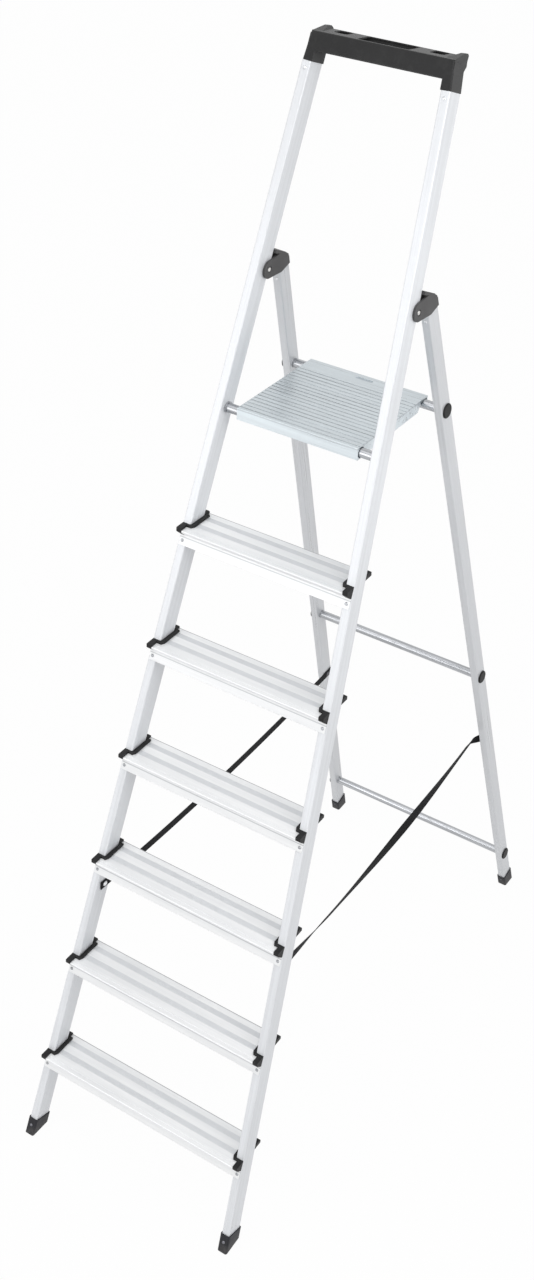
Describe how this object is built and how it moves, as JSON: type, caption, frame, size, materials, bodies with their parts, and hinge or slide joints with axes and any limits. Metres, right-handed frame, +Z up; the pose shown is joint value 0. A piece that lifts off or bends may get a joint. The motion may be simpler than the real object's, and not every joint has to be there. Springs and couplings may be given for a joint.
{
  "type": "step ladder",
  "caption": "Folding aluminium step ladder with flat treads, a ribbed standing platform, a tool tray over tall stiles, and a braced rear frame held by webbing straps.",
  "frame": {"origin": "on the floor, in the middle of the footprint of the four feet, with the ladder open", "axes": "+X to the right as a climber sees it, +Y from the climber to the back, +Z up"},
  "size_m": [0.5448, 1.369, 2.2705],
  "materials": {
    "frame_aluminium": "satin, extruded",
    "tube_aluminium": "satin, drawn",
    "tread_aluminium": "satin, extruded",
    "deck_aluminium": "satin, extruded",
    "rivet_aluminium": "plain",
    "pin_steel": "plain",
    "tray_plastic": "moulded, fine texture",
    "end_plastic": "moulded, fine texture",
    "bracket_plastic": "moulded, fine texture",
    "foot_rubber": "matt",
    "strap_webbing": "woven"
  },
  "bodies": {
    "front_frame": {"front_foot_left": "foot_rubber", "front_foot_right": "foot_rubber", "front_foot_screws": "pin_steel", "front_stile_left": "frame_aluminium", "front_stile_right": "frame_aluminium", "hinge_pin_left": "pin_steel", "hinge_pin_right": "pin_steel", "platform_front_tube": "tube_aluminium", "step_1": "tread_aluminium", "step_2": "tread_aluminium", "step_3": "tread_aluminium", "step_4": "tread_aluminium", "step_5": "tread_aluminium", "step_6": "tread_aluminium", "step_end_left_1": "end_plastic", "step_end_left_2": "end_plastic", "step_end_left_3": "end_plastic", "step_end_left_4": "end_plastic", "step_end_left_5": "end_plastic", "step_end_left_6": "end_plastic", "step_end_right_1": "end_plastic", "step_end_right_2": "end_plastic", "step_end_right_3": "end_plastic", "step_end_right_4": "end_plastic", "step_end_right_5": "end_plastic", "step_end_right_6": "end_plastic", "step_rivets": "rivet_aluminium", "strap_left": "strap_webbing", "strap_right": "strap_webbing", "strap_rivets_front": "rivet_aluminium", "top_tray": "tray_plastic", "tray_rivets": "rivet_aluminium"},
    "rear_frame": {"bracket_rivets": "rivet_aluminium", "hinge_bracket_left": "bracket_plastic", "hinge_bracket_right": "bracket_plastic", "lower_brace_plug_left": "end_plastic", "lower_brace_plug_right": "end_plastic", "lower_brace_tube": "tube_aluminium", "middle_brace_plug_left": "end_plastic", "middle_brace_plug_right": "end_plastic", "middle_brace_tube": "tube_aluminium", "platform_rear_plug_left": "end_plastic", "platform_rear_plug_right": "end_plastic", "platform_rear_tube": "tube_aluminium", "rear_foot_left": "foot_rubber", "rear_foot_right": "foot_rubber", "rear_foot_screws": "pin_steel", "rear_leg_left": "frame_aluminium", "rear_leg_right": "frame_aluminium", "strap_rivets_rear": "rivet_aluminium"},
    "platform": {"deck_rail_left": "deck_aluminium", "deck_rail_right": "deck_aluminium", "deck_rail_rivets": "rivet_aluminium", "platform_deck": "deck_aluminium"}
  },
  "joints": [
    {"name": "rear_frame_fold", "type": "hinge", "parent": "front_frame", "child": "rear_frame", "pos_m": [0, -0.00288, 1.858], "axis": [-1, 0, 0], "range_deg": [0, 37.2], "deforming": ["strap_left", "strap_right"]},
    {"name": "platform_lift", "type": "hinge", "parent": "front_frame", "child": "platform", "pos_m": [0, -0.10471, 1.6105], "axis": [1, 0, 0], "range_deg": [0, 70.8]}
  ],
  "couplings": [
    {"joint": "platform_lift", "follows": "rear_frame_fold", "ratio": 1.9}
  ]
}
